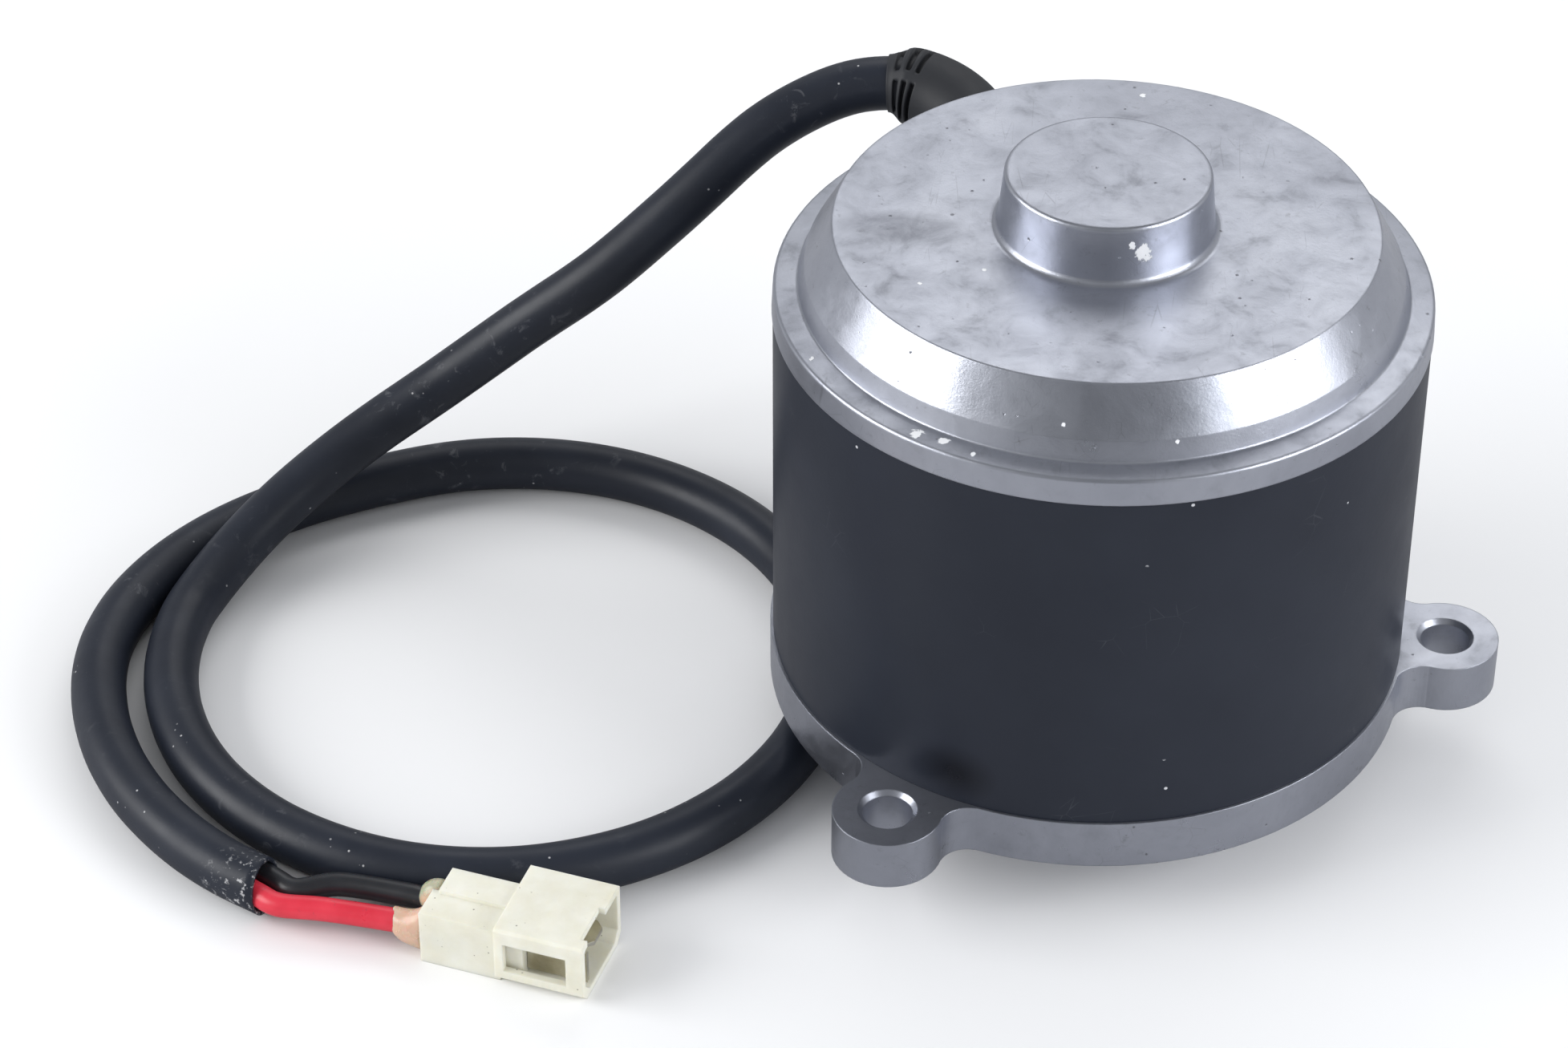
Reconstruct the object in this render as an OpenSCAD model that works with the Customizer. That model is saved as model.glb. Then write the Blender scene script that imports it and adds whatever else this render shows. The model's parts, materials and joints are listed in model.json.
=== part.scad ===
// Permanent magnet DC motor with a three-ear flange, a two-core cable and a two-way blade plug.
// Millimetres. The origin is on the motor axis at the flange's mounting face, +Z to the rear cover.

/* [Housing tube] */
// Outside diameter of the painted tube
tube_d = 109.6; // [109:0.2:110]
// Wall of the painted tube
tube_wall = 3.5; // [3.3:0.1:3.5]
// Length of the tube between flange and cover
tube_len = 65.8; // [65.4:0.2:67]

/* [Front flange] */
// Outside diameter of the flange plate
flange_d = 110.6; // [110.6:0.2:112]
// Thickness of the flange plate
flange_t = 9.1; // [8.9:0.1:9.3]
// Number of bolt ears
ear_count = 3; // [3, 4]
// Diameter of the circle through the ear holes
ear_pcd = 125; // [124:1:128]
// Radius of an ear's rounded end
ear_r = 9.3; // [8.5:0.1:9.5]
// Fillet between ear and plate
ear_fillet = 5; // [4:0.5:6]
// Hole in each ear, for an M8 bolt
ear_hole_d = 8.4; // [8.2:0.2:9]
// Diameter of the locating spigot
spigot_d = 70; // [66:1:72]
// Height of the locating spigot
spigot_h = 12; // [12:0.5:14]

/* [Rear cover] */
// Outside diameter of the cover's rim
cover_d = 110; // [110:0.2:111]
// Height from the tube's end to the flat top
cover_top_h = 16.6; // [16.6:0.2:17.4]
// Diameter of the bearing boss at its top
boss_d = 34.2; // [34:0.2:35]
// Height of the bearing boss over the flat top
boss_h = 10.3; // [10.3:0.1:11]

/* [Cable] */
// Outside diameter of the cable sheath
cable_d = 9.8; // [9:0.2:9.8]
// Outside diameter of each core
wire_d = 4.1; // [3.6:0.1:4.1]
// Radius of the cable's inner turn
coil_r = 58.5; // [57:0.5:60]
// How much wider the outer turn is
coil_step = 12.8; // [11:0.2:15]
// Angle at which the cable leaves the tube
exit_angle = 112; // [111:1:113]

/* [Rotor] */
// Diameter of the armature core
armature_d = 77; // [74:1:77]
// Diameter of the drive end of the shaft
drive_d = 14; // [13:0.5:14]

/* [Motion preview] */
// Turn of the rotor
rotor_turn = 0; // [0:5:355]

/* [Hidden] */
$fn = 96;
eps = 0.01;
fit = 0.05;

tube_r = tube_d / 2;
tube_bore_r = tube_r - tube_wall;
cover_z = flange_t + tube_len;
top_z = cover_z + cover_top_h;
boss_top_z = top_z + boss_h;
spigot_r = spigot_d / 2;

// Register rings hold the tube on flange and cover
register_r = tube_bore_r - fit;
register_h = 3;
register_w = 2.5;

// Bearings: bore radius, outside radius, width, ball radius, number of balls, lower face
front_bearing = [7.5, 17.5, 11, 2.97, 8, 5];
rear_bearing = [6, 14, 8, 2.38, 8, cover_z + 14.1];
shaft_shoulder_z = front_bearing[5] + front_bearing[2];

// Armature and magnet levels
slot_count = 12;
core_z = 27;
core_h = 31;
core_r = armature_d / 2;
insulator_t = 1;
winding_top_z = core_z + core_h + 8;
magnet_z = 20;
magnet_h = 40;
magnet_half_angle = 65;
magnet_r_in = core_r + 0.9;
bolt_circle_r = 45.5;
bolt_hole_r = 2.65;

// Commutator and brush levels, hung from the cover
bar_count = 24;
comm_r = 14;
riser_r = 17;
hub_r = 9.5;
brush_w = 8;
brush_len = 14;
brush_z = cover_z + 4.6;
holder_wall = 0.8;
holder_in = 16.5;
holder_out = 38;
plate_z0 = brush_z + brush_w / 2 + fit + holder_wall;
plate_z1 = cover_z + 12.6;
comm_z0 = cover_z - 4;
comm_z1 = cover_z + 10.1;

// Cable route
cable_r = cable_d / 2;
cable_z = -spigot_h + cable_r;
exit_z = cover_z - 7.4;
coil_centre = [-104, 0];
coil_start = 172;
coil_end = 606;
step_from = 474;
step_to = 550;
coil_pitch_angle = 6;
neck_r = 5.3;
slot_r = neck_r + 0.15;
boot_r = 7;
boot_rings = 15;
sweep_sides = 14;

// Plug: lower corner at the wire entry of the near cell, turned with the wires
plug_at = [-107.4, -74.8, -spigot_h];
plug_turn = -14.5;
cell_near = [2.9, 4.9];
cell_far = [8.3, 6];
cell_r = wire_d / 2 + 0.35;
blade_w = 6.3;
blade_t = 0.8;

// ---------- helpers ----------

function unit(v) = v / norm(v);
function polar(r, a) = [r * cos(a), r * sin(a)];
function arc(c, r, a0, a1, n) = [for (i = [0:n]) c + polar(r, a0 + (a1 - a0) * i / n)];
function smooth(t) = let (u = max(0, min(1, t))) u * u * (3 - 2 * u);

// Catmull-Rom curve through points 1 to n-2
function bend(a, b, c, d, t) =
    0.5 * (2 * b + (c - a) * t + (2 * a - 5 * b + 4 * c - d) * t * t + (3 * b - a - 3 * c + d) * t * t * t);
function spline(p, n) = [
    for (i = [1:len(p) - 3], k = [0:n - 1]) bend(p[i - 1], p[i], p[i + 1], p[i + 2], k / n)
];

function heading(p, i) = unit(p[min(i + 1, len(p) - 1)] - p[max(i - 1, 0)]);
function ring_at(p, i, r, n) =
    let (t = heading(p, i), s = unit(cross(t, [0, 0, 1])), u = cross(s, t))
    [for (k = [0:n - 1]) p[i] + r * (cos(360 * k / n) * s + sin(360 * k / n) * u)];
function skin(rings, n) = [
    for (i = [0:rings - 2], k = [0:n - 1])
        let (a = i * n + k, b = i * n + (k + 1) % n)
        each [[a, b, b + n], [a, b + n, a + n]]
];

// Round rod along a path
module rod(p, r, n = 8) {
    m = len(p);
    points = [for (i = [0:m - 1]) each ring_at(p, i, r, n)];
    start_cap = [[for (k = [n - 1:-1:0]) k]];
    end_cap = [[for (k = [0:n - 1]) (m - 1) * n + k]];
    polyhedron(points = points, faces = concat(skin(m, n), start_cap, end_cap), convexity = 8);
}

// Round hose over a stretch of a path, one ring for each outside radius, in line with a rod's own rings
module hose(p, first, r_out, r_in, n) {
    m = len(r_out);
    outer = [for (i = [0:m - 1]) each ring_at(p, first + i, r_out[i], n)];
    inner = [for (i = [0:m - 1]) each ring_at(p, first + i, r_in, n)];
    o = m * n;
    last = (m - 1) * n;
    inside = [for (f = skin(m, n)) [f[2] + o, f[1] + o, f[0] + o]];
    ends = [
        for (k = [0:n - 1])
            let (j = (k + 1) % n)
            each [[k, o + k, o + j], [k, o + j, j],
                  [last + k, last + j, o + last + j], [last + k, o + last + j, o + last + k]]
    ];
    polyhedron(points = concat(outer, inner), faces = concat(skin(m, n), inside, ends), convexity = 8);
}

module ring(r_out, r_in, h) {
    difference() {
        cylinder(r = r_out, h = h);
        translate([0, 0, -1]) cylinder(r = r_in, h = h + 2);
    }
}

module around(n, first = 0) {
    for (i = [0:n - 1]) rotate(first + 360 * i / n) children();
}

module rotor_frame() { rotate(rotor_turn) children(); }

// ---------- housing ----------

// Tongue that fills the tube's slot above the cable and clamps the boot's neck
module cable_tongue() {
    half = slot_r - fit;
    intersection() {
        translate([0, 0, exit_z]) ring(tube_r - 0.2, tube_bore_r + 0.1, cover_z + 1 - exit_z);
        rotate(exit_angle) translate([tube_bore_r - 5, -half, exit_z]) cube([12, 2 * half, 20]);
    }
}

module rear_cover() {
    rim_r = cover_d / 2;
    boss_r = boss_d / 2;
    edge = 0.8;
    rim_edge = 0.6;
    rim_draft = 0.2;
    foot = 1.3;
    cone_top_r = 45.4;
    cone_foot = [49.6, cover_z + 8.6];
    ledge_corner = [51, cover_z + 5.5];
    ledge_fillet = 0.4;
    outline = concat(
        [[0, boss_top_z]],
        arc([boss_r - edge, boss_top_z - edge], edge, 90, 0, 4),
        arc([boss_r + 0.8 + foot, top_z + foot], foot, 180, 270, 5),
        arc([cone_top_r - 0.5, top_z - 0.4], 0.4, 90, 30, 3),
        [cone_foot],
        arc(ledge_corner, ledge_fillet, 198, 263, 4),
        arc([rim_r - rim_draft - rim_edge, cover_z + 4.1], rim_edge, 83, 0, 4),
        [[rim_r, cover_z], [register_r, cover_z], [register_r, cover_z - register_h]],
        [[register_r - register_w, cover_z - register_h], [register_r - register_w, cover_z + 2]],
        [[46.4, cover_z + 5], [46.4, cover_z + 7.6], [42.7, plate_z1], [rear_bearing[1], plate_z1]],
        [[rear_bearing[1], boss_top_z - 3.3], [0, boss_top_z - 3.3]]
    );
    color("silver")
    difference() {
        union() {
            rotate_extrude() polygon(outline);
            for (y = [-1, 1]) translate([0, y * bolt_circle_r, cover_z - 7]) cylinder(r = 4.9, h = 12.3);
            cable_tongue();
        }
        for (y = [-1, 1]) translate([0, y * bolt_circle_r, cover_z - 8]) cylinder(r = 2.52, h = 12);
        for (x = [-1, 1]) translate([x * 30, 0, plate_z1 - 1]) cylinder(r = 2.02, h = 4);
        rotate(exit_angle) {
            translate([44, -7, cover_z - register_h - 1]) cube([tube_bore_r - 44, 14, register_h + 1]);
            translate([tube_bore_r - 5, 0, exit_z]) rotate([0, 90, 0]) cylinder(r = slot_r, h = 12);
        }
    }
}

module housing_tube() {
    color([0.13, 0.14, 0.17])
    difference() {
        translate([0, 0, flange_t]) ring(tube_r, tube_bore_r, tube_len);
        rotate(exit_angle) translate([tube_bore_r - 5, 0, exit_z]) {
            rotate([0, 90, 0]) cylinder(r = slot_r, h = 12);
            translate([0, -slot_r, 0]) cube([12, 2 * slot_r, 20]);
        }
    }
}

// Plate outline with ears: the fillets between them touch both plate and ear
module flange_outline() {
    r = flange_d / 2;
    e = ear_pcd / 2;
    a = r + ear_fillet;
    b = ear_r + ear_fillet;
    fx = (a * a - b * b + e * e) / (2 * e);
    fy = sqrt(a * a - fx * fx);
    f = [fx, fy];
    inside = 0.3;
    fillet = arc(f, ear_fillet, atan2(fy, fx) + 180, atan2(-fy, e - fx) + 360, 12);
    upper = concat([f * (r - inside) / a], [for (i = [1:11]) fillet[i]],
                   [[e, 0] + (f - [e, 0]) * (ear_r - inside) / b]);
    lower = [for (i = [len(upper) - 1:-1:0]) [upper[i][0], -upper[i][1]]];
    circle(r = r);
    around(ear_count) {
        translate([e, 0]) circle(r = ear_r);
        polygon(concat([[r - 10, 0]], upper, [[e, 0]], lower));
    }
}

module front_flange() {
    fb = front_bearing;
    recess_r = 27;
    boss_r = 23;
    boss_top = 19;
    floor_z = -4;
    edge = 0.5;
    color("silver")
    difference() {
        union() {
            linear_extrude(flange_t) flange_outline();
            rotate_extrude() polygon([[0, -spigot_h], [spigot_r - edge, -spigot_h],
                                      [spigot_r, -spigot_h + edge], [spigot_r, 1], [0, 1]]);
            translate([0, 0, flange_t - 1]) ring(register_r, register_r - register_w, register_h + 1);
            cylinder(r = boss_r, h = boss_top);
        }
        translate([0, 0, -spigot_h - 1]) cylinder(r = recess_r, h = spigot_h + 1 + floor_z);
        translate([0, 0, floor_z - 1]) cylinder(r = 14, h = 8);
        translate([0, 0, 2.9]) cylinder(r = 13, h = 3);
        translate([0, 0, fb[5]]) cylinder(r = fb[1], h = 20);
        translate([0, 0, shaft_shoulder_z]) cylinder(r = fb[1] + 1, h = 1.6);
        for (y = [-1, 1]) translate([0, y * bolt_circle_r, 0]) {
            translate([0, 0, -1]) cylinder(r = bolt_hole_r, h = flange_t + 2);
            translate([0, 0, -1]) cylinder(r = 5, h = 6.5);
        }
        around(ear_count) translate([ear_pcd / 2, 0, 0]) {
            translate([0, 0, -1]) cylinder(r = ear_hole_d / 2, h = flange_t + 2);
            translate([0, 0, flange_t - 0.8])
                cylinder(r1 = ear_hole_d / 2, r2 = ear_hole_d / 2 + 0.9, h = 0.9);
        }
    }
}

// ---------- cable ----------

// The route rises out of the tube, bends over, falls to the table and lies there in two turns
function exit_point(r, rise) = concat(polar(r, exit_angle), [exit_z + rise]);
function coil_radius(a) = coil_r + coil_step * smooth((a - step_from) / (step_to - step_from));
function coil_point(a) = concat(coil_centre + polar(coil_radius(a), a), [cable_z]);
route = [
    exit_point(44, 0), exit_point(47, 0), exit_point(55.5, 0), [-23.2, 59.3, 68], [-26, 66.6, 69.3],
    [-32, 71.6, 70.6], [-40.2, 73.8, 71], [-50.5, 72.3, 69.2], [-63, 67, 63.5], [-77, 59.5, 52],
    [-91, 54.5, 40], [-106, 53, 28], [-121, 50, 16.5], [-135, 43.5, 8], [-147.2, 34, 1],
    [-156.2, 22.5, -4.4], coil_point(coil_start), coil_point(coil_start + 2 * coil_pitch_angle)
];
drop_path = spline(route, 3);
coil_path = [for (a = [coil_start:coil_pitch_angle:coil_end]) coil_point(a)];
cable_path = concat(drop_path, coil_path);
boot_first = 1;
boot_fit = 0.03;

module cable_boot() {
    last = boot_rings - 1;
    shoulder = 3;
    nose_r = cable_r + 0.4;
    radii = [
        for (i = [0:last])
            i > last - 2 ? nose_r + (last - i) * 0.9
            : neck_r + (boot_r - neck_r) * max(0, min(1, (i - shoulder) / 3))
    ];
    color([0.16, 0.17, 0.19]) hose(cable_path, boot_first, radii, cable_r + boot_fit, sweep_sides);
}

module cable_sheath() {
    color([0.1, 0.11, 0.14]) rod(cable_path, cable_r, sweep_sides);
}

sheath_end = cable_path[len(cable_path) - 1];
sheath_way = heading(cable_path, len(cable_path) - 1);
core_side = wire_d / 2 + 0.2;
side_way = unit(cross(sheath_way, [0, 0, 1]));
function plug_point(x, cell) =
    let (across = polar(cell[0], plug_turn + 90), along = polar(x, plug_turn))
    plug_at + concat(along + across, [cell[1]]);
core_gap = 0.5;
function core_route(side, cell) =
    let (start = sheath_end + side * core_side * side_way, finish = plug_point(-6, cell))
    [start - 4 * sheath_way, start + core_gap * sheath_way, start + 5 * sheath_way,
     (start + finish) / 2 - [0, 0.6 * side, 0], finish, plug_point(-2.5, cell), plug_point(0.5, cell),
     plug_point(4.4, cell), plug_point(8, cell)];

module wire_red() { color([0.85, 0.15, 0.2]) rod(spline(core_route(1, cell_near), 4), wire_d / 2, 12); }

module wire_black() { color([0.12, 0.12, 0.14]) rod(spline(core_route(-1, cell_far), 4), wire_d / 2, 12); }

// ---------- plug ----------

near_body = [14.3, 6.4, 10.6];
far_body = [12.9, 6, 11.4];
far_step = 1.4;
plug_len = 29.5;
skirt_x = 13.8;
skirt_h = 12.2;
skirt_wall = 1.3;
core_len = 18.2;
blade_tip = 28.8;
flat_blade_z = 7;

module plug_frame() { translate(plug_at) rotate(plug_turn) children(); }

// Skirt section across the plug, seen from its mouth, shrunk by inset
module skirt_section(inset) {
    y0 = -1.2 + inset;
    y1 = 16.2 - inset;
    z0 = inset;
    z1 = skirt_h - inset;
    c = 1.8;
    top_c = 0.5;
    polygon([[y0 + c, z0], [y1 - c, z0], [y1, z0 + c], [y1, z1 - top_c], [y1 - top_c, z1],
             [y0 + top_c, z1], [y0, z1 - top_c], [y0, z0 + c]]);
}

module along_plug(x0, x1) {
    translate([x0, 0, 0]) rotate([90, 0, 90]) linear_extrude(x1 - x0) children();
}

module connector_housing() {
    color([0.93, 0.92, 0.84])
    plug_frame()
    difference() {
        union() {
            cube(near_body);
            translate([far_step, near_body[1] - 0.8, 0]) cube(far_body);
            along_plug(skirt_x, plug_len) skirt_section(0);
        }
        difference() {
            along_plug(skirt_x + skirt_wall, plug_len + 1) skirt_section(skirt_wall);
            translate([skirt_x, 0.6, 0]) cube([core_len - skirt_x, 4.6, 9.2]);
            translate([skirt_x, 4.4, 5.6]) cube([core_len - skirt_x, 7.2, 6]);
        }
        for (cell = [cell_near, cell_far])
            translate([-1, cell[0], cell[1]]) rotate([0, 90, 0]) cylinder(r = cell_r, h = 4.6);
        translate([3.5, cell_near[0] - 2.1, 2.6]) cube([4.6, 4.2, 4.6]);
        translate([3.5, cell_far[0] - 2.1, 3.9]) cube([4.6, 4.2, 4.6]);
        translate([7.8, 2.4, 1.7]) cube([12.2, 1, 6.5]);
        translate([7.8, 4.7, flat_blade_z - 0.1]) cube([12, 6.5, 1]);
        translate([skirt_x + 1.6, -3, 3.4]) cube([11.1, 3.1, 5.8]);
        translate([plug_len - 1.2, 1.4, skirt_h - skirt_wall - 0.2]) cube([2, 8.2, 2]);
    }
}

// Vertical blade, seen through the window in the skirt
module terminal_near() {
    color([0.62, 0.6, 0.52])
    plug_frame() {
        translate([3.7, cell_near[0] - 1.9, 2.8]) cube([4.3, 3.8, 4.2]);
        translate([7.9, cell_near[0] - blade_t / 2, 1.8]) cube([blade_tip - 7.9, blade_t, blade_w]);
    }
}

// Flat blade with a chamfered tip
module terminal_far() {
    tip = 1.4;
    y0 = 4.8;
    color([0.62, 0.6, 0.52])
    plug_frame() {
        translate([3.7, cell_far[0] - 1.9, 4.1]) cube([4.3, 3.8, 4.2]);
        translate([0, 0, flat_blade_z]) linear_extrude(blade_t)
            polygon([[7.9, y0], [blade_tip - tip, y0], [blade_tip, y0 + tip], [blade_tip, y0 + blade_w - tip],
                     [blade_tip - tip, y0 + blade_w], [7.9, y0 + blade_w]]);
    }
}

// One blob of glue, thick at the plug and thin along its wire
module glue_blob(x, cell, r) {
    length = 4.5;
    steps = 6;
    bore_r = wire_d / 2 + 0.2;
    end_r = bore_r + 0.4;
    taper = [for (i = [0:steps]) [r - (r - end_r) * smooth(i / steps), length * i / steps]];
    translate([x, cell[0], cell[1]]) rotate([0, -90, 0]) rotate_extrude()
        polygon(concat([[bore_r, 0]], taper, [[bore_r, length]]));
}

module glue_seals() {
    color([0.8, 0.72, 0.5])
    plug_frame() {
        glue_blob(0, cell_near, 3.2);
        difference() {
            glue_blob(far_step, cell_far, 2.7);
            cube(near_body);
        }
    }
}

// ---------- magnets and tie bolts ----------

module sector(r, half) {
    polygon([[0, 0], 2 * r * [cos(half), -sin(half)], [3 * r, 0], 2 * r * [cos(half), sin(half)]]);
}

module magnets() {
    color([0.3, 0.3, 0.32])
    translate([0, 0, magnet_z]) linear_extrude(magnet_h)
        around(2) intersection() {
            difference() {
                circle(r = tube_bore_r);
                circle(r = magnet_r_in);
            }
            sector(tube_r, magnet_half_angle);
        }
}

module magnet_clips() {
    half = 90 - magnet_half_angle - 0.3;
    t = 1;
    color([0.7, 0.72, 0.75])
    translate([0, 0, magnet_z + 4]) linear_extrude(magnet_h - 8)
        around(2, 90) {
            intersection() {
                difference() {
                    circle(r = tube_bore_r);
                    circle(r = tube_bore_r - t);
                }
                sector(tube_r, half);
            }
            for (s = [-1, 1]) rotate(s * half) translate([magnet_r_in + 1, s > 0 ? -t : 0])
                square([tube_bore_r - magnet_r_in - 1.4, t]);
        }
}

module tie_bolts() {
    color([0.5, 0.5, 0.53])
    for (y = [-1, 1]) translate([0, y * bolt_circle_r, 0])
        difference() {
            union() {
                translate([0, 0, 0.5]) cylinder(r = 4.25, h = 5);
                translate([0, 0, 5.4]) cylinder(r = 2.5, h = cover_z + 3 - 5.4);
            }
            cylinder(r = 2.3, h = 3, $fn = 6);
        }
}

// ---------- rotor ----------

module shaft() {
    z_end = -spigot_h + 0.5;
    drive_r = drive_d / 2;
    drive_slot_w = 4;
    drive_slot_h = 3;
    c = 0.5;
    fb = front_bearing;
    rb = rear_bearing;
    end_z = rb[5] + rb[2] + 0.6;
    color([0.75, 0.76, 0.78])
    rotor_frame()
    difference() {
        rotate_extrude() polygon([
            [0, z_end], [drive_r - c, z_end], [drive_r, z_end + c], [drive_r, -4.5], [fb[0], -4.5],
            [fb[0], shaft_shoulder_z], [9.5, shaft_shoulder_z], [9.5, core_z - insulator_t - 1],
            [8, core_z - insulator_t - 1], [8, comm_z0 - 1], [7, comm_z0 - 1], [7, rb[5]], [rb[0], rb[5]],
            [rb[0], end_z - c], [rb[0] - c, end_z], [0, end_z]
        ]);
        translate([-drive_r - 1, -drive_slot_w / 2, z_end - 1])
            cube([2 * drive_r + 2, drive_slot_w, drive_slot_h + 1]);
    }
}

// One armature slot: narrow mouth, wide body, round bottom
module slot_shape(gap) {
    inner_half = 1.8 - gap;
    outer_half = 4.6 - gap;
    polygon([[20, -inner_half], [34, -outer_half], [35.5, 1.2 - outer_half],
             [35.5, outer_half - 1.2], [34, outer_half], [20, inner_half]]);
    translate([20, 0]) circle(r = inner_half);
}

module core_section() {
    difference() {
        circle(r = core_r);
        circle(r = 8);
        around(slot_count) {
            slot_shape(0);
            translate([34, -1.2]) square([10, 2.4]);
        }
    }
}

module armature_core() {
    color([0.45, 0.45, 0.48])
    rotor_frame() translate([0, 0, core_z]) linear_extrude(core_h) core_section();
}

module core_insulators() {
    color([0.55, 0.2, 0.15])
    rotor_frame() for (z = [core_z - insulator_t, core_z + core_h])
        translate([0, 0, z]) linear_extrude(insulator_t) intersection() {
            core_section();
            circle(r = core_r - 0.5);
        }
}

module windings() {
    low_z = core_z - insulator_t;
    high_z = core_z + core_h + insulator_t;
    color([0.72, 0.35, 0.15])
    rotor_frame() {
        translate([0, 0, low_z - eps]) linear_extrude(high_z - low_z + 2 * eps)
            around(slot_count) slot_shape(0.35);
        rotate_extrude() polygon([[18.4, low_z], [34.9, low_z], [34.9, low_z - 3], [32, low_z - 5.5],
                                  [26, low_z - 5.5], [18.4, low_z - 1.5]]);
        rotate_extrude() polygon([[12, high_z], [34.9, high_z], [34.9, high_z + 3], [32, winding_top_z],
                                  [20, winding_top_z], [12, winding_top_z - 3]]);
    }
}

module commutator_gaps() {
    around(bar_count) translate([hub_r - 1, -0.3]) square([20, 0.6]);
}

module commutator_bars() {
    color([0.8, 0.42, 0.2])
    rotor_frame() {
        translate([0, 0, comm_z0]) linear_extrude(3) difference() {
            circle(r = riser_r);
            circle(r = hub_r);
            commutator_gaps();
        }
        translate([0, 0, comm_z0 + 3 - eps]) linear_extrude(comm_z1 - comm_z0 - 3 + eps) difference() {
            circle(r = comm_r);
            circle(r = hub_r);
            commutator_gaps();
        }
    }
}

module commutator_hub() {
    color([0.25, 0.15, 0.1])
    rotor_frame() translate([0, 0, comm_z0 - 0.5]) ring(hub_r, 7, comm_z1 - comm_z0 + 1);
}

// ---------- bearings ----------

function pitch_r(b) = (b[0] + b[1]) / 2;
function race_gap(b) = b[3] * 0.78;

module race_groove(b) {
    rotate_extrude() translate([pitch_r(b), b[5] + b[2] / 2]) circle(r = b[3] + fit);
}

module outer_race(b) {
    color([0.7, 0.71, 0.73])
    difference() {
        translate([0, 0, b[5]]) ring(b[1], pitch_r(b) + race_gap(b), b[2]);
        race_groove(b);
    }
}

module inner_race(b) {
    color([0.7, 0.71, 0.73])
    difference() {
        translate([0, 0, b[5]]) ring(pitch_r(b) - race_gap(b), b[0], b[2]);
        race_groove(b);
    }
}

module balls(b) {
    color([0.85, 0.86, 0.88])
    around(b[4]) translate([pitch_r(b), 0, b[5] + b[2] / 2]) sphere(r = b[3]);
}

// Crown cage: open below the balls, closed above them
module cage(b) {
    color([0.75, 0.6, 0.3])
    difference() {
        translate([0, 0, b[5] + b[2] / 2 - 0.4 * b[3]])
            ring(pitch_r(b) + 1, pitch_r(b) - 1, 1.4 * b[3] + 0.8);
        around(b[4]) translate([pitch_r(b), 0, b[5] + b[2] / 2]) sphere(r = b[3] + fit);
    }
}

module front_outer_race() { outer_race(front_bearing); }
module front_inner_race() { rotor_frame() inner_race(front_bearing); }
module front_balls() { balls(front_bearing); }
module front_cage() { cage(front_bearing); }
module rear_outer_race() { outer_race(rear_bearing); }
module rear_inner_race() { rotor_frame() inner_race(rear_bearing); }
module rear_balls() { balls(rear_bearing); }
module rear_cage() { cage(rear_bearing); }

// Sheet shields stand in the outer races and clear the inner races
module bearing_shields() {
    t = 0.3;
    color([0.6, 0.6, 0.62])
    for (b = [front_bearing, rear_bearing], z = [b[5] + 0.1, b[5] + b[2] - 0.1 - t])
        translate([0, 0, z]) ring(pitch_r(b) + race_gap(b), pitch_r(b) - race_gap(b) + 0.1, t);
}

module shaft_seal() {
    lip_r = front_bearing[0] + fit;
    color([0.15, 0.15, 0.15])
    rotate_extrude() polygon([[13.98, -4], [13.98, 2.9], [12, 2.9], [12, -2.4], [9.6, -2.4], [9.2, 0.6],
                              [lip_r, 0.2], [lip_r, -0.8], [8.4, -4]]);
}

module bearing_circlip() {
    r = front_bearing[1] + 0.9;
    color([0.35, 0.35, 0.38])
    translate([0, 0, shaft_shoulder_z + 0.05]) linear_extrude(1.5) difference() {
        union() {
            difference() {
                circle(r = r);
                circle(r = r - 2.6);
            }
            for (a = [-14, 14]) rotate(a) translate([r - 3.4, 0]) circle(r = 2);
        }
        translate([0, -1.8]) square([30, 3.6]);
        for (a = [-14, 14]) rotate(a) translate([r - 3.4, 0]) circle(r = 0.9);
    }
}

module preload_washer() {
    color([0.6, 0.62, 0.66])
    translate([0, 0, rear_bearing[5] + rear_bearing[2]]) ring(13.7, 11.5, 1.2);
}

// ---------- brush gear ----------

module brush_plate() {
    color([0.45, 0.25, 0.12])
    translate([0, 0, plate_z0]) linear_extrude(plate_z1 - plate_z0) difference() {
        circle(r = 42);
        circle(r = 18);
        for (x = [-1, 1]) translate([x * 30, 0]) circle(r = 2.1);
    }
}

module brush_plate_screws() {
    color([0.7, 0.7, 0.72])
    for (x = [-1, 1]) translate([x * 30, 0, 0]) difference() {
        union() {
            translate([0, 0, plate_z0 - 2.4]) cylinder(r = 3.6, h = 2.4);
            translate([0, 0, plate_z0 - 0.5]) cylinder(r = 2, h = plate_z1 - plate_z0 + 3);
        }
        translate([-0.5, -4, plate_z0 - 3]) cube([1, 8, 1.6]);
    }
}

module brush_holders() {
    inside = brush_w + 2 * fit;
    outside = inside + 2 * holder_wall;
    color([0.78, 0.6, 0.25])
    around(2, 90) translate([0, 0, brush_z]) difference() {
        translate([holder_in, -outside / 2, -outside / 2])
            cube([holder_out + holder_wall - holder_in, outside, outside]);
        translate([holder_in - 1, -inside / 2, -inside / 2])
            cube([holder_out - holder_in + 1, inside, inside]);
    }
}

// Carbon block whose inner end follows the commutator
module brush() {
    color([0.2, 0.2, 0.21])
    translate([0, 0, brush_z]) difference() {
        translate([comm_r - 1, -brush_w / 2, -brush_w / 2]) cube([brush_len + 1, brush_w, brush_w]);
        translate([0, 0, -brush_w]) cylinder(r = comm_r + fit, h = 2 * brush_w);
    }
}

module brush_a() { rotate(90) brush(); }
module brush_b() { rotate(-90) brush(); }

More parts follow.
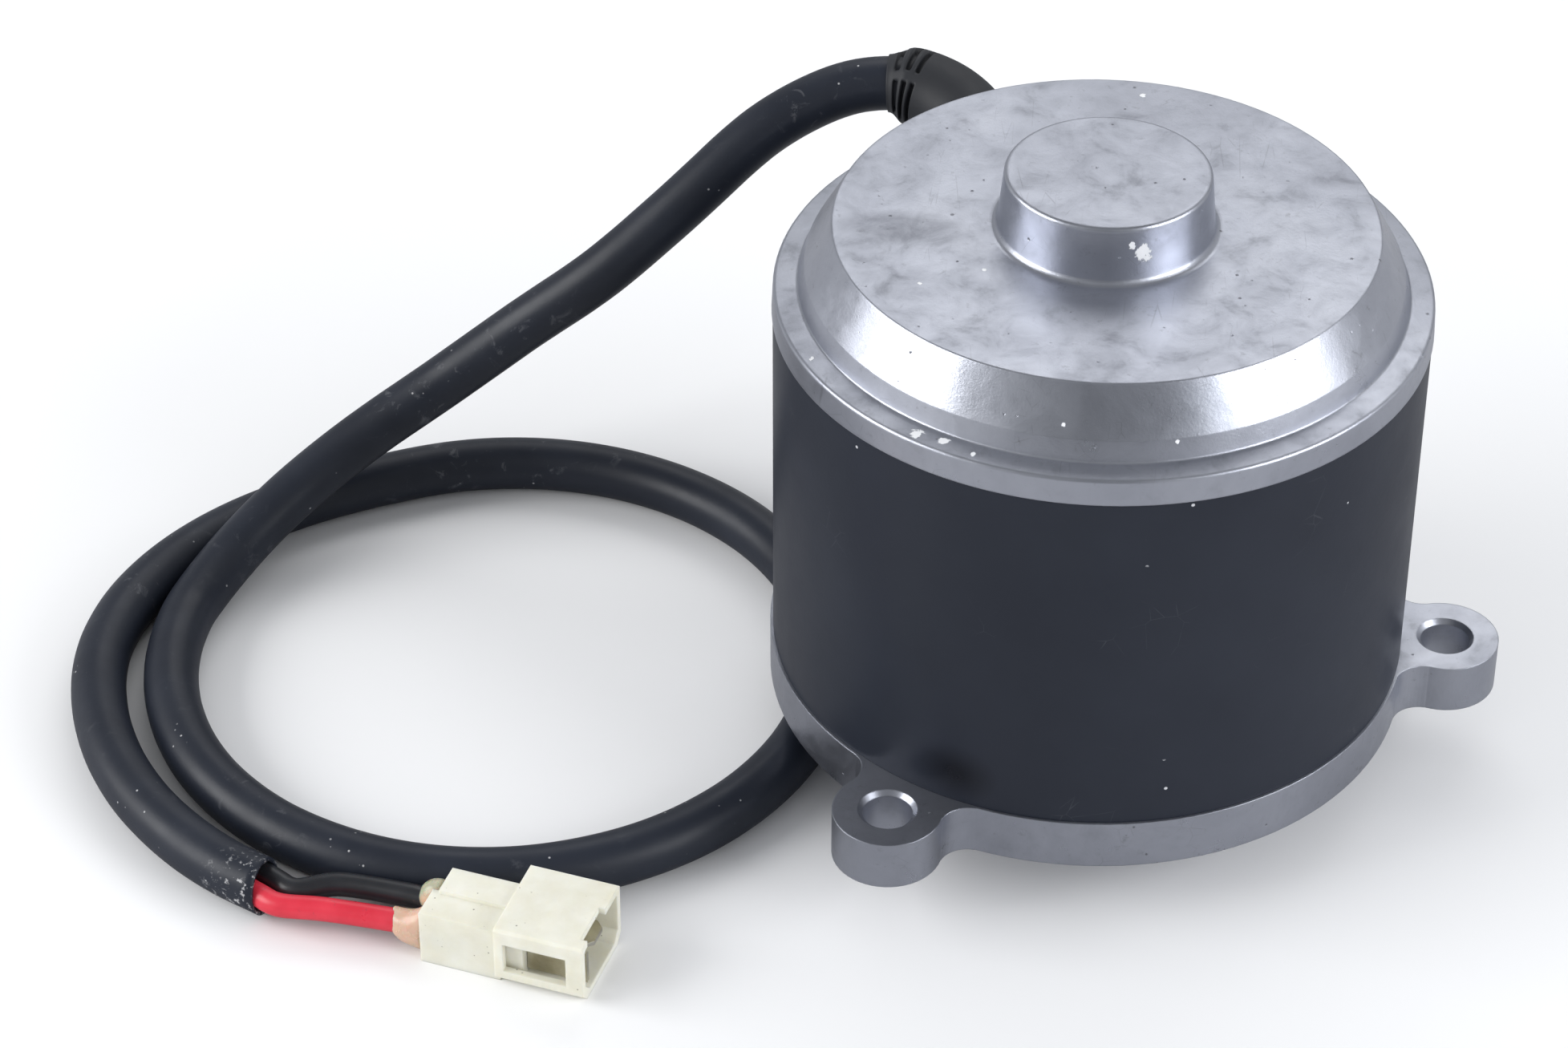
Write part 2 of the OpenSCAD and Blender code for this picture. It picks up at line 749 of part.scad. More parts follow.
module brush_spring() {
    wire_r = 0.35;
    turn_r = 2.9;
    turns = 6;
    free = holder_out - comm_r - brush_len - 2 * wire_r - 0.1;
    coil = [for (i = [0:turns * 14]) concat(polar(turn_r, i * 360 / 14), [free * i / (turns * 14)])];
    color([0.75, 0.76, 0.78])
    translate([comm_r + brush_len + wire_r + 0.05, 0, brush_z]) rotate([0, 90, 0]) rod(coil, wire_r, 6);
}

module brush_spring_a() { rotate(90) brush_spring(); }
module brush_spring_b() { rotate(-90) brush_spring(); }

// Inner leads run from the cable's inner end to the brush holders, over the magnets
lead_r = 1.6;
lead_z = cover_z - 2;
function lead_start(side) = exit_point(46.5, 0) + side * concat(polar(lead_r + 0.4, exit_angle + 90), [0]);
function level(r, a, z) = concat(polar(r, a), [z]);
lead_in = concat(polar(4.4, exit_angle), [0]);
lead_out = concat(polar(-3.2, exit_angle), [0.4]);
holder_side = brush_w / 2 + fit + holder_wall + lead_r + 0.1;
holder_swing = 0.6;

module lead_red() {
    s = lead_start(-1);
    color([0.85, 0.15, 0.2])
    rod(spline([s + lead_in, s, s + lead_out, level(38, exit_angle - 3, lead_z),
                level(37.5, exit_angle - 9, brush_z - 1),
                [-holder_side - holder_swing, 33, brush_z], [-holder_side, 26, brush_z],
                [-holder_side, 22, brush_z]], 4), lead_r, 8);
}

module lead_black() {
    s = lead_start(1);
    around_plate = [for (a = [exit_angle + 14:22:240]) level(37, a, lead_z)];
    color([0.12, 0.12, 0.14])
    rod(spline(concat([s + lead_in, s, s + lead_out], around_plate,
                      [level(37, 250, brush_z - 1), [-holder_side - holder_swing, -32, brush_z],
                       [-holder_side, -26, brush_z], [-holder_side, -22, brush_z]]), 4), lead_r, 8);
}

rear_cover();
housing_tube();
front_flange();
cable_boot();
cable_sheath();
wire_red();
wire_black();
connector_housing();
terminal_near();
terminal_far();
glue_seals();
magnets();
magnet_clips();
tie_bolts();
shaft();
armature_core();
core_insulators();
windings();
commutator_bars();
commutator_hub();
front_outer_race();
front_inner_race();
front_balls();
front_cage();
rear_outer_race();
rear_inner_race();
rear_balls();
rear_cage();
bearing_shields();
shaft_seal();
bearing_circlip();
preload_washer();
brush_plate();
brush_plate_screws();
brush_holders();
brush_a();
brush_b();
brush_spring_a();
brush_spring_b();
lead_red();
lead_black();
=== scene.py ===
"""Looks of the DC motor: materials for the CAD nodes, finer cable, boot, wires, plug, glue and springs,
and the studio."""

import json
import math

import bmesh
import bpy
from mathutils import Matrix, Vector, noise


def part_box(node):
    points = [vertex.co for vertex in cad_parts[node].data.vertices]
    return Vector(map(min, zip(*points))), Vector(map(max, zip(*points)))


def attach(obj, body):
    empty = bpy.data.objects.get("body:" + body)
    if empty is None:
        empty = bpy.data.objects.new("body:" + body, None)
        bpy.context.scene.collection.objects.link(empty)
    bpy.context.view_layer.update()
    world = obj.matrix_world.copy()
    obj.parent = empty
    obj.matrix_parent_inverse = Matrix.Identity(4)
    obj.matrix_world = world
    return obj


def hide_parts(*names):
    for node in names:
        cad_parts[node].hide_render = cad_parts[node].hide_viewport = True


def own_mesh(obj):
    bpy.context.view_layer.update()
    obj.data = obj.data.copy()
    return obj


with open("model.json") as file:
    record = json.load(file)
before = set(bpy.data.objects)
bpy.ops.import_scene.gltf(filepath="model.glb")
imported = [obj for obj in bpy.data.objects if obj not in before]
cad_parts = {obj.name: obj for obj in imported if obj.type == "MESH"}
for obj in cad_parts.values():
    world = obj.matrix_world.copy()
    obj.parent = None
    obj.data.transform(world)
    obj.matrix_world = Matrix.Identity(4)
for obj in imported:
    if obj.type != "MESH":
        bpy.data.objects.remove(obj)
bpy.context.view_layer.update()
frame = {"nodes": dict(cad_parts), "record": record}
NODES = frame["nodes"]
MM = 0.001
Z = Vector((0, 0, 1))


# ---------- sizes read from the frame ----------

def low(node):
    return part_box(node)[0]


def high(node):
    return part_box(node)[1]


FLANGE_T = low("housing_tube").z
TUBE_TOP = high("housing_tube").z
FLOOR_Z = low("front_flange").z
CUT_END = min((v.co for v in NODES["wire_red"].data.vertices), key=lambda c: c.x)


# ---------- material helpers ----------

def new_material(name):
    material = bpy.data.materials.new(name)
    material.use_nodes = True
    tree = material.node_tree
    tree.nodes.clear()
    return material, Graph(tree)


class Graph:
    """Short forms for the shader nodes that the materials share."""

    def __init__(self, tree):
        self.tree = tree
        self.position = self.node("ShaderNodeTexCoord").outputs["Object"]

    def node(self, kind, **settings):
        made = self.tree.nodes.new(kind)
        for key, value in settings.items():
            setattr(made, key, value)
        return made

    def feed(self, socket, value):
        if isinstance(value, bpy.types.NodeSocket):
            self.tree.links.new(value, socket)
        elif value is not None:
            socket.default_value = value

    def scaled(self, scale):
        mapping = self.node("ShaderNodeMapping")
        self.feed(mapping.inputs["Vector"], self.position)
        mapping.inputs["Scale"].default_value = scale
        return mapping.outputs["Vector"]

    def noise(self, scale, detail=4.0, rough=0.55, distort=0.0, at=None):
        made = self.node("ShaderNodeTexNoise")
        self.feed(made.inputs["Vector"], at or self.position)
        made.inputs["Scale"].default_value = scale
        made.inputs["Detail"].default_value = detail
        made.inputs["Roughness"].default_value = rough
        made.inputs["Distortion"].default_value = distort
        return made.outputs["Fac"]

    def cells(self, scale, at=None, feature="F1"):
        made = self.node("ShaderNodeTexVoronoi", feature=feature)
        self.feed(made.inputs["Vector"], at or self.position)
        made.inputs["Scale"].default_value = scale
        return made

    def ramp(self, value, stops):
        made = self.node("ShaderNodeValToRGB")
        self.feed(made.inputs["Fac"], value)
        points = made.color_ramp.elements
        while len(points) < len(stops):
            points.new(0.5)
        for point, (place, colour) in zip(points, stops):
            point.position = place
            grey = isinstance(colour, (int, float))
            point.color = (colour, colour, colour, 1) if grey else (*colour, 1)
        return made.outputs["Color"]

    def math(self, kind, a, b):
        made = self.node("ShaderNodeMath", operation=kind)
        for socket, value in zip(made.inputs, (a, b)):
            self.feed(socket, value)
        return made.outputs["Value"]

    def mix(self, share, a, b, blend="MIX"):
        made = self.node("ShaderNodeMix", data_type="RGBA", blend_type=blend)
        self.feed(made.inputs["Factor"], share)
        for socket, value in zip((made.inputs[6], made.inputs[7]), (a, b)):
            self.feed(socket, (*value, 1) if isinstance(value, tuple) else value)
        return made.outputs[2]

    def axis(self, index, source=None):
        """One coordinate of the position, or of another vector."""
        made = self.node("ShaderNodeSeparateXYZ")
        self.feed(made.inputs["Vector"], source or self.position)
        return made.outputs[index]

    def normal_axis(self, index):
        return self.axis(index, self.node("ShaderNodeNewGeometry").outputs["Normal"])

    def bump(self, height, strength, distance, below=None):
        made = self.node("ShaderNodeBump")
        made.inputs["Strength"].default_value = strength
        made.inputs["Distance"].default_value = distance
        self.feed(made.inputs["Height"], height)
        if below is not None:
            self.feed(made.inputs["Normal"], below)
        return made.outputs["Normal"]

    def rounded(self, radius):
        made = self.node("ShaderNodeBevel", samples=4)
        made.inputs["Radius"].default_value = radius
        return made.outputs["Normal"]

    def near(self, point, size):
        """1 at a point, falling to 0 at its edge, with size as the half-widths."""
        shifted = self.node("ShaderNodeVectorMath", operation="SUBTRACT")
        self.feed(shifted.inputs[0], self.position)
        shifted.inputs[1].default_value = point
        squeezed = self.node("ShaderNodeVectorMath", operation="DIVIDE")
        self.feed(squeezed.inputs[0], shifted.outputs[0])
        squeezed.inputs[1].default_value = size
        length = self.node("ShaderNodeVectorMath", operation="LENGTH")
        self.feed(length.inputs[0], squeezed.outputs[0])
        return self.math("SUBTRACT", 1.0, length.outputs["Value"])

    def above(self, value, edge, soft=0.02):
        """0 below edge - soft, rising to 1 at edge + soft."""
        made = self.node("ShaderNodeMapRange")
        self.feed(made.inputs["Value"], value)
        made.inputs["From Min"].default_value = edge - soft
        made.inputs["From Max"].default_value = edge + soft
        return made.outputs["Result"]

    def surface(self, **inputs):
        shader = self.node("ShaderNodeBsdfPrincipled")
        for key, value in inputs.items():
            name = key.replace("_", " ")
            value = (*value, 1) if isinstance(value, tuple) and len(value) == 3 and "Color" in name else value
            self.feed(shader.inputs[name], value)
        output = self.node("ShaderNodeOutputMaterial")
        self.tree.links.new(shader.outputs["BSDF"], output.inputs["Surface"])
        return shader


def scratches(g, scale, width, turn):
    """Thin lines that run along one direction, broken up by noise."""
    stretch = 0.12
    mapping = g.node("ShaderNodeMapping")
    g.feed(mapping.inputs["Vector"], g.position)
    mapping.inputs["Rotation"].default_value = (0, 0, turn)
    mapping.inputs["Scale"].default_value = (scale, scale * stretch, scale)
    lines = g.cells(1.0, at=mapping.outputs["Vector"], feature="DISTANCE_TO_EDGE").outputs["Distance"]
    thin = g.ramp(lines, [(0.0, 1.0), (width, 0.0)])
    broken = g.above(g.noise(scale * 0.35, 3.0), 0.64, 0.03)
    return g.math("MULTIPLY", thin, broken)


# ---------- materials ----------

# White paint flecks on the cover: radius, degrees from +X, height over the tube's end, half-width, in mm
FLECKS = [
    (17.6, -69, 22.3, 2.0), (17.4, -75, 23.6, 1.0), (40.5, 83, 16.6, 1.0), (24.5, -142, 16.6, 0.5),
    (35.5, -146, 16.6, 0.5), (53.0, -122, 4.9, 1.7), (52.2, -117, 4.9, 1.2), (53.2, -111, 4.9, 0.7),
    (53.0, -151, 4.9, 0.7), (48.6, -96, 10.5, 0.6), (48.9, -52, 10.2, 0.5), (49.7, -75, 8.2, 0.5),
]


def cast_aluminium():
    material, g = new_material("cast_aluminium")
    flat = g.above(g.normal_axis(2), 0.9, 0.05)
    cloud = g.noise(26, 5.0, 0.6, 0.5)
    patch = g.noise(130, 6.0, 0.68, 0.4)
    crumbs = g.noise(520, 5.0, 0.7, 0.3)
    grain = g.noise(2400, 3.0, 0.6)
    base = g.ramp(cloud, [(0.30, (0.38, 0.395, 0.45)), (0.50, (0.48, 0.50, 0.565)),
                          (0.72, (0.57, 0.59, 0.655))])
    mottle = g.ramp(patch, [(0.30, 0.66), (0.44, 0.92), (0.60, 1.0)])
    colour = g.mix(g.math("ADD", 0.35, g.math("MULTIPLY", flat, 0.4)), base, mottle, "MULTIPLY")
    oval = g.near((-33.5 * MM, -4 * MM, TUBE_TOP + 16.6 * MM), (13 * MM, 5.5 * MM, 4 * MM))
    stain = g.math("MULTIPLY", g.above(oval, 0.25, 0.25), g.ramp(patch, [(0.3, 1.0), (0.7, 0.55)]))
    colour = g.mix(g.math("MULTIPLY", stain, 0.8), colour, (0.215, 0.225, 0.26))
    marks = scratches(g, 210, 0.016, 0.72)
    for scale, width, turn in ((290, 0.013, 1.9), (380, 0.013, -0.4)):
        marks = g.math("MAXIMUM", marks, scratches(g, scale, width, turn))
    colour = g.mix(g.math("MULTIPLY", marks, 0.3), colour, (0.13, 0.13, 0.14))
    dots = g.math("SUBTRACT", 1.0, g.cells(380).outputs["Distance"])
    dings = g.math("MULTIPLY", g.above(dots, 0.91, 0.03), g.above(crumbs, 0.57, 0.03))
    soot = g.math("MULTIPLY", g.above(crumbs, 0.66, 0.06), g.above(patch, 0.50, 0.06))
    dark = g.math("MAXIMUM", dings, g.math("MULTIPLY", soot, 0.6))
    colour = g.mix(g.math("MULTIPLY", dark, 0.65), colour, (0.14, 0.14, 0.15))
    fleck = None
    for radius, turn, height, size in FLECKS:
        angle = math.radians(turn)
        place = (radius * MM * math.cos(angle), radius * MM * math.sin(angle), TUBE_TOP + height * MM)
        spot = g.near(place, (size * MM,) * 3)
        fleck = spot if fleck is None else g.math("MAXIMUM", fleck, spot)
    ragged = g.math("SUBTRACT", crumbs, 0.5)
    fleck = g.above(g.math("ADD", fleck, g.math("MULTIPLY", ragged, 2.6)), 0.36, 0.06)
    colour = g.mix(fleck, colour, (0.86, 0.87, 0.89))
    rough = g.ramp(patch, [(0.3, 0.42), (0.55, 0.30), (0.75, 0.25)])
    rough = g.math("ADD", rough, g.math("MULTIPLY", flat, 0.07))
    rough = g.math("ADD", rough, g.math("MULTIPLY", fleck, 0.3))
    metal = g.math("MULTIPLY", g.math("SUBTRACT", 1.0, fleck), 0.95)
    bumped = g.bump(grain, 0.12, 0.00015, g.rounded(0.0003))
    bumped = g.bump(patch, 0.12, 0.0005, bumped)
    sunk = g.math("SUBTRACT", fleck, dings)
    bumped = g.bump(sunk, 0.6, 0.00012, bumped)
    g.surface(Base_Color=colour, Metallic=metal, Roughness=rough, Normal=bumped)
    return material


def painted_steel():
    material, g = new_material("painted_steel")
    cloud = g.noise(22, 4.0, 0.6)
    peel = g.noise(1100, 2.0, 0.5)
    colour = g.ramp(cloud, [(0.3, (0.0160, 0.0190, 0.0285)), (0.7, (0.0215, 0.0255, 0.0370))])
    above_ear = g.near((-20 * MM, -50.5 * MM, FLANGE_T + 6 * MM), (7.5 * MM, 7.5 * MM, 6 * MM))
    smudge = g.above(above_ear, 0.4, 0.4)
    colour = g.mix(g.math("MULTIPLY", smudge, 0.8), colour, (0.004, 0.004, 0.006))
    specks = g.math("SUBTRACT", 1.0, g.cells(300).outputs["Distance"])
    rare = g.above(g.noise(52, 2.0, 0.5), 0.63, 0.01)
    dust = g.math("MULTIPLY", g.above(specks, 0.905, 0.015), rare)
    colour = g.mix(g.math("MULTIPLY", dust, 0.85), colour, (0.62, 0.63, 0.66))
    scuff = scratches(g, 180, 0.010, 0.4)
    colour = g.mix(g.math("MULTIPLY", scuff, 0.25), colour, (0.12, 0.125, 0.14))
    rough = g.ramp(g.noise(60, 5.0, 0.6), [(0.3, 0.36), (0.7, 0.44)])
    rough = g.math("SUBTRACT", rough, g.math("MULTIPLY", smudge, 0.12))
    g.surface(Base_Color=colour, Roughness=rough, Specular_IOR_Level=0.23,
              Normal=g.bump(peel, 0.05, 0.0002, g.rounded(0.0004)))
    return material


def rubber(name, dark, light, rough_low, rough_high, dust_share, chalked=None):
    """Cable rubber: cloudy colour, long scuffs and pale dust, with a dustier place around one point."""
    material, g = new_material(name)
    cloud = g.noise(42, 5.0, 0.6, 0.4)
    fine = g.noise(700, 3.0, 0.6)
    colour = g.ramp(cloud, [(0.3, dark), (0.72, light)])
    scuff = g.math("MULTIPLY", g.above(g.noise(310, 6.0, 0.7, 0.8), 0.63, 0.05),
                   g.above(g.noise(27, 2.0), 0.56, 0.05))
    colour = g.mix(g.math("MULTIPLY", scuff, 0.35), colour, (0.18, 0.185, 0.20))
    specks = g.cells(520).outputs["Distance"]
    dust = g.math("MULTIPLY", g.above(g.math("SUBTRACT", 1.0, specks), 0.9, 0.02),
                  g.above(g.noise(60, 2.0, 0.5), dust_share, 0.02))
    if chalked is not None:
        close = g.above(g.near(tuple(chalked), (12 * MM,) * 3), 0.35, 0.3)
        crust = g.above(g.noise(900, 5.0, 0.7), 0.60, 0.03)
        dust = g.math("MAXIMUM", dust, g.math("MULTIPLY", close, crust))
    colour = g.mix(g.math("MULTIPLY", dust, 0.7), colour, (0.55, 0.55, 0.56))
    rough = g.ramp(g.noise(95, 4.0, 0.6), [(0.3, rough_low), (0.7, rough_high)])
    rough = g.math("ADD", rough, g.math("MULTIPLY", scuff, 0.15))
    g.surface(Base_Color=colour, Roughness=rough, Specular_IOR_Level=0.36,
              Normal=g.bump(fine, 0.10, 0.00025))
    return material


def insulation(name, dark, light):
    material, g = new_material(name)
    colour = g.ramp(g.noise(120, 4.0, 0.6), [(0.3, dark), (0.7, light)])
    dirt = g.above(g.noise(420, 4.0, 0.65), 0.66, 0.03)
    colour = g.mix(g.math("MULTIPLY", dirt, 0.35), colour, (0.10, 0.07, 0.07))
    rough = g.ramp(g.noise(200, 3.0), [(0.3, 0.26), (0.7, 0.36)])
    g.surface(Base_Color=colour, Roughness=rough, Specular_IOR_Level=0.5, Subsurface_Weight=0.08,
              Subsurface_Scale=0.0008, Normal=g.bump(g.noise(500, 3.0), 0.05, 0.0002))
    return material


def ivory_nylon():
    material, g = new_material("ivory_nylon")
    cloud = g.noise(150, 4.0, 0.6)
    colour = g.ramp(cloud, [(0.3, (0.74, 0.72, 0.60)), (0.7, (0.83, 0.82, 0.73))])
    specks = g.cells(900).outputs["Distance"]
    dirt = g.math("MULTIPLY", g.above(g.math("SUBTRACT", 1.0, specks), 0.86, 0.03),
                  g.above(g.noise(210, 3.0, 0.6), 0.60, 0.03))
    colour = g.mix(g.math("MULTIPLY", dirt, 0.8), colour, (0.14, 0.12, 0.09))
    smear = g.above(g.noise(330, 6.0, 0.7, 1.0), 0.68, 0.04)
    colour = g.mix(g.math("MULTIPLY", smear, 0.22), colour, (0.36, 0.33, 0.25))
    rough = g.ramp(g.noise(240, 3.0), [(0.3, 0.38), (0.7, 0.5)])
    g.surface(Base_Color=colour, Roughness=rough, Subsurface_Weight=0.35, Subsurface_Scale=0.002,
              Subsurface_Radius=(1.0, 0.85, 0.55),
              Normal=g.bump(g.noise(650, 3.0), 0.05, 0.0002, g.rounded(0.00035)))
    return material


def hot_melt():
    material, g = new_material("hot_melt")
    cloud = g.noise(350, 4.0, 0.6)
    amber = g.ramp(cloud, [(0.3, (0.76, 0.50, 0.36)), (0.7, (0.85, 0.62, 0.47))])
    olive = g.ramp(cloud, [(0.3, (0.48, 0.49, 0.34)), (0.7, (0.58, 0.59, 0.43))])
    middle = (low("glue_seals").y + high("glue_seals").y) / 2
    colour = g.mix(g.above(g.axis(1), middle + 0.5 * MM, 0.5 * MM), amber, olive)
    rough = g.ramp(g.noise(500, 3.0), [(0.3, 0.16), (0.7, 0.34)])
    g.surface(Base_Color=colour, Roughness=rough, Subsurface_Weight=0.5, Subsurface_Scale=0.002,
              Transmission_Weight=0.2, IOR=1.45, Normal=g.bump(g.noise(300, 2.0), 0.08, 0.0004))
    return material


def worked_metal(name, dark, light, rough_low, rough_high, turned=False):
    """Machined or rolled metal. Turned metal has fine rings along its axis."""
    material, g = new_material(name)
    at = g.scaled((1, 1, 60)) if turned else g.scaled((1, 6, 1))
    streak = g.noise(120, 5.0, 0.65, at=at)
    tarnish = g.noise(130, 5.0, 0.6, 0.5)
    colour = g.ramp(tarnish, [(0.3, dark), (0.68, light)])
    rough = g.ramp(streak, [(0.3, rough_low), (0.7, rough_high)])
    g.surface(Base_Color=colour, Metallic=1.0, Roughness=rough,
              Normal=g.bump(streak, 0.08, 0.0001, g.rounded(0.00025)))
    return material


def moulded(name, dark, light, rough_low, rough_high, scale=1.0):
    """Moulded or pressed non-metal."""
    material, g = new_material(name)
    colour = g.ramp(g.noise(160 * scale, 5.0, 0.6), [(0.3, dark), (0.7, light)])
    rough = g.ramp(g.noise(320 * scale, 3.0), [(0.3, rough_low), (0.7, rough_high)])
    g.surface(Base_Color=colour, Roughness=rough,
              Normal=g.bump(g.noise(900 * scale, 3.0), 0.1, 0.0002, g.rounded(0.0002)))
    return material


SKINS = {
    "cast_aluminium": cast_aluminium(),
    "painted_steel": painted_steel(),
    "boot_rubber": rubber("boot_rubber", (0.020, 0.0215, 0.0255), (0.034, 0.036, 0.042), 0.50, 0.64, 0.68),
    "sheath_rubber": rubber("sheath_rubber", (0.0125, 0.0155, 0.0245), (0.0205, 0.0250, 0.0375), 0.36, 0.48,
                            0.62, CUT_END),
    "red_insulation": insulation("red_insulation", (0.62, 0.022, 0.045), (0.76, 0.045, 0.075)),
    "black_insulation": insulation("black_insulation", (0.013, 0.014, 0.017), (0.028, 0.029, 0.034)),
    "ivory_nylon": ivory_nylon(),
    "tinned_brass": worked_metal("tinned_brass", (0.50, 0.47, 0.37), (0.80, 0.78, 0.69), 0.28, 0.45),
    "hot_melt": hot_melt(),
    "ferrite": moulded("ferrite", (0.03, 0.03, 0.032), (0.07, 0.07, 0.073), 0.6, 0.8),
    "spring_steel": worked_metal("spring_steel", (0.30, 0.30, 0.32), (0.50, 0.50, 0.53), 0.25, 0.42),
    "zinc_steel": worked_metal("zinc_steel", (0.42, 0.43, 0.44), (0.62, 0.63, 0.64), 0.25, 0.42),
    "ground_steel": worked_metal("ground_steel", (0.50, 0.51, 0.53), (0.68, 0.69, 0.71), 0.16, 0.30, True),
    "lamination_steel": worked_metal("lamination_steel", (0.14, 0.14, 0.15), (0.28, 0.28, 0.30), 0.4, 0.6,
                                     True),
    "fibre_board": moulded("fibre_board", (0.20, 0.03, 0.02), (0.34, 0.07, 0.05), 0.6, 0.8),
    "enamelled_copper": worked_metal("enamelled_copper", (0.34, 0.10, 0.03), (0.58, 0.22, 0.08), 0.22, 0.38,
                                     True),
    "bare_copper": worked_metal("bare_copper", (0.52, 0.20, 0.10), (0.78, 0.38, 0.24), 0.22, 0.38, True),
    "bare_brass": worked_metal("bare_brass", (0.48, 0.32, 0.10), (0.72, 0.54, 0.24), 0.25, 0.42),
    "phenolic": moulded("phenolic", (0.10, 0.045, 0.02), (0.18, 0.09, 0.045), 0.4, 0.6),
    "seal_rubber": moulded("seal_rubber", (0.008, 0.008, 0.008), (0.02, 0.02, 0.02), 0.5, 0.7),
    "carbon": moulded("carbon", (0.015, 0.015, 0.016), (0.04, 0.04, 0.042), 0.5, 0.75),
}


def dress(obj, slot_name):
    """Give a new mesh the named finish."""
    obj.data.materials.clear()
    obj.data.materials.append(SKINS[slot_name])


SLOT_OF = {part["node"]: part["material_slot"] for part in frame["record"]["subparts"]}
for node_name, cad_object in NODES.items():
    for index in range(len(cad_object.material_slots)):
        cad_object.material_slots[index].material = SKINS[SLOT_OF[node_name]]


# ---------- mesh helpers ----------

def mesh_object(name, bm, slot_name):
    """A smooth-shaded piece on the housing, made from bm."""
    bmesh.ops.recalc_face_normals(bm, faces=bm.faces)
    mesh = bpy.data.meshes.new(name)
    bm.to_mesh(mesh)
    bm.free()
    obj = bpy.data.objects.new(name, mesh)
    bpy.context.scene.collection.objects.link(obj)
    for face in mesh.polygons:
        face.use_smooth = True
    dress(obj, slot_name)
    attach(obj, "housing")
    return obj


def welded(node):
    """A node's mesh with its split corners joined."""
    bm = bmesh.new()
    bm.from_mesh(NODES[node].data)
    bmesh.ops.remove_doubles(bm, verts=bm.verts, dist=1e-6)
    bm.verts.index_update()
    return bm


def ring_centres(node, start, reach):
    """Centres of a swept node's rings, walked ring by ring from the end that is nearest to start."""
    bm = welded(node)
    first = min(bm.verts, key=lambda vert: (vert.co - start).length)

    def cap_through(face):
        return [vert for vert in bm.verts if (vert.co - first.co).length < reach
                and abs((vert.co - first.co).dot(face.normal)) < 0.01 * MM]

    ring = max((cap_through(face) for face in first.link_faces), key=len)
    centres, seen = [], set()
    while ring:
        centres.append(sum((vert.co for vert in ring), Vector()) / len(ring))
        seen.update(ring)
        beyond = {edge.other_vert(vert) for vert in ring for edge in vert.link_edges} - seen
        ring = sorted(beyond, key=lambda vert: vert.index)
    bm.free()
    return centres


def smooth_path(points, step):
    """Catmull-Rom curve through points, cut into equal steps."""
    spans = 12
    padded = [2 * points[0] - points[1]] + points + [2 * points[-1] - points[-2]]
    dense = []
    for a, b, c, d in zip(padded, padded[1:], padded[2:], padded[3:]):
        for t in (k / spans for k in range(spans)):
            dense.append(0.5 * (2 * b + (c - a) * t + (2 * a - 5 * b + 4 * c - d) * t * t
                                + (3 * b - a - 3 * c + d) * t ** 3))
    dense.append(points[-1].copy())
    length = sum((q - p).length for p, q in zip(dense, dense[1:]))
    count = max(2, round(length / step))
    path, walked, goal = [dense[0]], 0.0, length / count
    for p, q in zip(dense, dense[1:]):
        piece = (q - p).length
        while piece > 0 and walked + piece >= goal * len(path) - 1e-9 and len(path) < count:
            path.append(p.lerp(q, (goal * len(path) - walked) / piece))
        walked += piece
    path.append(dense[-1])
    return path


def join_rings(bm, first, second):
    """A band of faces between two rings with equally many vertices."""
    for k in range(len(first)):
        n = (k + 1) % len(first)
        bm.faces.new((first[k], first[n], second[n], second[k]))


def sweep(bm, path, radius_at, sides, closed_start=True, closed_end=True):
    """Tube skin along a path. Returns the rings of vertices."""
    rings = []
    for index, point in enumerate(path):
        before = path[max(index - 1, 0)]
        after = path[min(index + 1, len(path) - 1)]
        way = (after - before).normalized()
        side = way.cross(Z).normalized()
        up = side.cross(way)
        rings.append([bm.verts.new(point + (side * math.cos(a) + up * math.sin(a)) * radius_at(index, a))
                      for a in (2 * math.pi * k / sides for k in range(sides))])
    for first, second in zip(rings, rings[1:]):
        join_rings(bm, first, second)
    if closed_start:
        bm.faces.new(list(reversed(rings[0])))
    if closed_end:
        bm.faces.new(rings[-1])
    return rings


# ---------- cable, boot and wires ----------

def smoothstep(t):
    t = max(0.0, min(1.0, t))
    return t * t * (3 - 2 * t)


def offset_path(path, back):
    """The path with its first point pulled back along the first heading."""
    way = (path[1] - path[0]).normalized()
    return [path[0] - way * back] + path


SHEATH_R = 4.9 * MM
WIRE_R = 2.05 * MM
in_the_air = [v.co for v in NODES["cable_sheath"].data.vertices if v.co.z > FLANGE_T]
inner_end = min(in_the_air, key=lambda c: c.xy.length)
sheath_rings = ring_centres("cable_sheath", inner_end, 2.3 * SHEATH_R)
cable_path = smooth_path(sheath_rings, 1.5 * MM)


def cable_piece():
    """Sheath with a slanted, hollow cut end."""
    last = len(cable_path) - 1
    end = cable_path[last]
    hollow_end = cable_path[last - 4]
    way = (end - cable_path[last - 1]).normalized()
    bore = 4.25 * MM
    slant = 1.1 * MM
    raggedness = 0.12 * MM

    def radius(index, angle):
        around = Vector((math.cos(angle), math.sin(angle), 0))
        wobble = noise.noise(cable_path[index] * 60 + around * 0.4)
        return SHEATH_R * (0.995 + 0.012 * wobble)

    bm = bmesh.new()
    outer_lip = sweep(bm, cable_path, radius, 32, closed_end=False)[-1]
    outward = [(vert.co - end).normalized() for vert in outer_lip]
    deep = [bm.verts.new(hollow_end + way_out * bore) for way_out in outward]
    lip = [bm.verts.new(end + way_out * bore) for way_out in outward]
    for outer, inner in ((outer_lip, lip), (lip, deep)):
        join_rings(bm, outer, inner)
    bm.faces.new(deep)
    side = way.cross(Z).normalized()
    for vert in outer_lip + lip:
        lean = (vert.co - end).dot(side - 0.4 * Z) / SHEATH_R
        vert.co += way * (slant * lean + raggedness * noise.noise(vert.co * 900))
    piece = mesh_object("cable_sheath_hose", bm, "sheath_rubber")
    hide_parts("cable_sheath")


